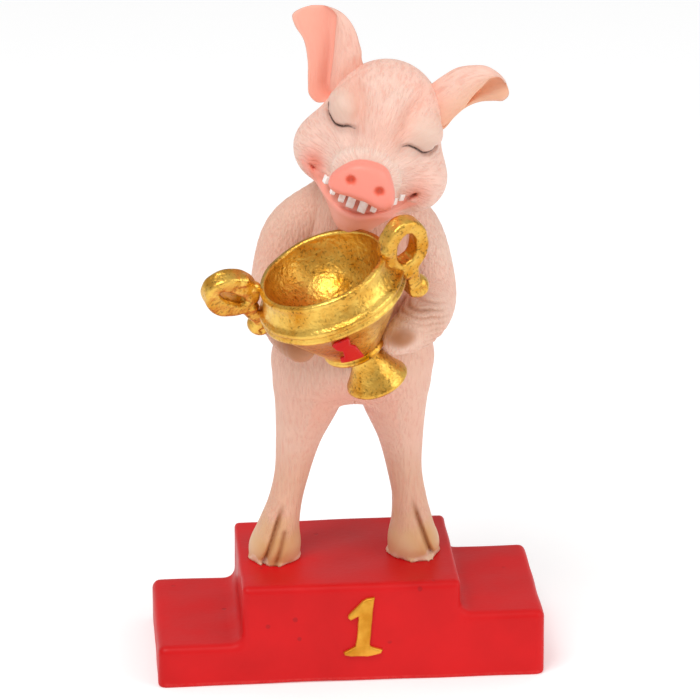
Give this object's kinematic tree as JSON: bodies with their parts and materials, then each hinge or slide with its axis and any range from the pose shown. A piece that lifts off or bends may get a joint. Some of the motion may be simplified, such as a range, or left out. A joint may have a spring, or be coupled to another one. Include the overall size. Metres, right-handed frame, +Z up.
{
  "type": "pig figurine",
  "caption": "Cast-resin pig standing on a stepped winners' podium with closed eyes and a broad grin, hugging a gilt two-handled cup; a shelf ornament.",
  "frame": {"origin": "centre of the podium's underside", "axes": "+Z up, the pig faces -Y, +X towards the pig's own left side"},
  "size_m": [0.092, 0.0629, 0.1595],
  "materials": {
    "skin": "satin",
    "red_paint": "satin",
    "gilt": "metallic",
    "steel": "plain"
  },
  "bodies": {
    "root": {"podium": "red_paint", "podium_numeral": "gilt", "left_leg": "skin", "right_leg": "skin", "torso": "skin", "head": "skin", "left_ear": "skin", "right_ear": "skin", "left_arm": "skin", "right_arm": "skin", "tail": "skin", "trophy_bowl": "gilt", "trophy_foot": "gilt", "left_trophy_handle": "gilt", "right_trophy_handle": "gilt", "trophy_numeral": "red_paint", "foot_pins": "steel", "hip_pins": "steel", "shoulder_pins": "steel", "neck_pin": "steel"}
  },
  "joints": []
}
